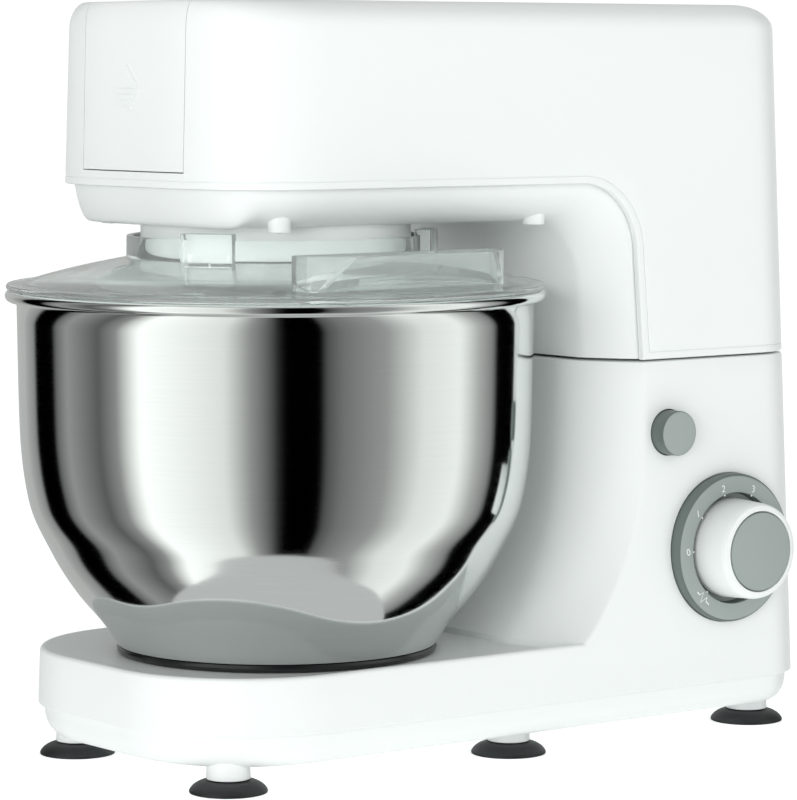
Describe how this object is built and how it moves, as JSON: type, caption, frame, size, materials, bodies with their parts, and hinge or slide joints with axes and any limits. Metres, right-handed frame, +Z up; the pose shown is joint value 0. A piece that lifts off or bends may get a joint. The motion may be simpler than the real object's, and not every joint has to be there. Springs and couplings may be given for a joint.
{
  "type": "stand mixer",
  "caption": "White tilt-head stand mixer with a polished steel bowl, clear splash lid with feed chute, planetary beater drive, speed knob, release button and suction feet.",
  "frame": {"origin": "on the worktop under the middle of the whole machine's box", "axes": "+Z up, -Y towards the bowl end, +X towards the flank with the knob and the release button"},
  "size_m": [0.232, 0.356, 0.325],
  "materials": {
    "white_plastic": "satin gloss, fine moulded grain",
    "grey_plastic": "satin",
    "clear_plastic": "clear gloss",
    "polished_steel": "mirror polished stainless steel",
    "bright_steel": "bright",
    "black_rubber": "satin",
    "black_plastic": "satin",
    "cast_aluminium": "cast, satin",
    "laminated_steel": "stacked laminations",
    "copper": "enamelled copper",
    "circuit_board": "solder mask",
    "nylon": "natural nylon"
  },
  "bodies": {
    "base": {"base_housing": "white_plastic", "base_bottom_cover": "white_plastic", "suction_foot_1": "black_rubber", "suction_foot_2": "black_rubber", "suction_foot_3": "black_rubber", "suction_foot_4": "black_rubber", "suction_foot_5": "black_rubber", "suction_foot_6": "black_rubber", "bowl_seat": "black_plastic", "dial_bezel": "grey_plastic", "speed_switch": "black_plastic", "control_board": "circuit_board", "cable_inlet": "black_plastic", "slide_guide": "black_plastic", "button_spring": "bright_steel", "hinge_bracket": "bright_steel", "hinge_pin": "bright_steel"},
    "head": {"head_top_cover": "white_plastic", "head_underside_cover": "white_plastic", "drive_chassis": "cast_aluminium", "ring_gear": "nylon", "hub_bearing": "bright_steel", "motor_stator": "laminated_steel", "field_coil_upper": "copper", "field_coil_lower": "copper", "motor_bracket_upper": "cast_aluminium", "motor_bracket_lower": "cast_aluminium", "bowl_lid": "clear_plastic", "latch_striker": "bright_steel", "hinge_arms": "bright_steel", "drive_belt": "black_rubber", "outlet_bearing": "cast_aluminium", "underside_screw_1": "bright_steel", "underside_screw_2": "bright_steel", "underside_screw_3": "bright_steel", "underside_screw_4": "bright_steel"},
    "front_cover": {"front_outlet_cover": "white_plastic"},
    "rotor": {"armature": "laminated_steel", "commutator": "copper", "motor_fan": "black_plastic", "motor_pulley": "bright_steel"},
    "layshaft": {"layshaft": "bright_steel", "layshaft_pinion": "bright_steel", "large_pulley": "nylon"},
    "hub": {"planet_carrier": "white_plastic", "drive_shaft": "bright_steel", "final_gear": "nylon", "hub_bevel_gear": "bright_steel"},
    "spindle": {"output_spindle": "bright_steel", "planet_gear": "bright_steel", "flat_beater": "cast_aluminium"},
    "outlet": {"outlet_shaft": "bright_steel", "outlet_coupling": "bright_steel"},
    "knob": {"speed_knob": "white_plastic", "knob_cap": "grey_plastic"},
    "button": {"release_button": "grey_plastic", "latch_slide": "bright_steel"},
    "bowl": {"bowl": "polished_steel", "bowl_base_ring": "black_plastic"}
  },
  "joints": [
    {"name": "head_tilt", "type": "hinge", "parent": "base", "child": "head", "pos_m": [0, 0.1685, 0.17], "axis": [-1, 0, 0], "range_deg": [0, 36]},
    {"name": "hub_spin", "type": "hinge", "parent": "head", "child": "hub", "pos_m": [0, -0.062, 0.226], "axis": [0, 0, 1], "continuous": true},
    {"name": "spindle_spin", "type": "hinge", "parent": "hub", "child": "spindle", "pos_m": [0, -0.034, 0.226], "axis": [0, 0, 1], "continuous": true},
    {"name": "layshaft_spin", "type": "hinge", "parent": "head", "child": "layshaft", "pos_m": [0, -0.008, 0.26], "axis": [0, 0, 1], "continuous": true},
    {"name": "rotor_spin", "type": "hinge", "parent": "head", "child": "rotor", "pos_m": [0, 0.118, 0.216], "axis": [0, 0, 1], "continuous": true},
    {"name": "outlet_spin", "type": "hinge", "parent": "head", "child": "outlet", "pos_m": [0, -0.062, 0.288], "axis": [0, -1, 0], "continuous": true},
    {"name": "front_cover_slide", "type": "slide", "parent": "head", "child": "front_cover", "axis": [0, 0, 1], "range_m": [0, 0.06]},
    {"name": "knob_turn", "type": "hinge", "parent": "base", "child": "knob", "pos_m": [0.084, 0.1245, 0.085], "axis": [-1, 0, 0], "range_deg": [-45, 225]},
    {"name": "button_press", "type": "slide", "parent": "base", "child": "button", "axis": [-1, 0, 0], "range_m": [0, 0.006], "stiffness_N_per_m": 400, "springref_m": -0.004, "deforming": ["button_spring"]},
    {"name": "bowl_twist", "type": "hinge", "parent": "base", "child": "bowl", "pos_m": [0, -0.062, 0.0503], "axis": [0, 0, 1], "range_deg": [0, 35]}
  ],
  "couplings": [
    {"joint": "spindle_spin", "follows": "hub_spin", "ratio": -3},
    {"joint": "layshaft_spin", "follows": "hub_spin", "ratio": -5},
    {"joint": "rotor_spin", "follows": "hub_spin", "ratio": -26.667},
    {"joint": "outlet_spin", "follows": "hub_spin", "ratio": 1}
  ]
}
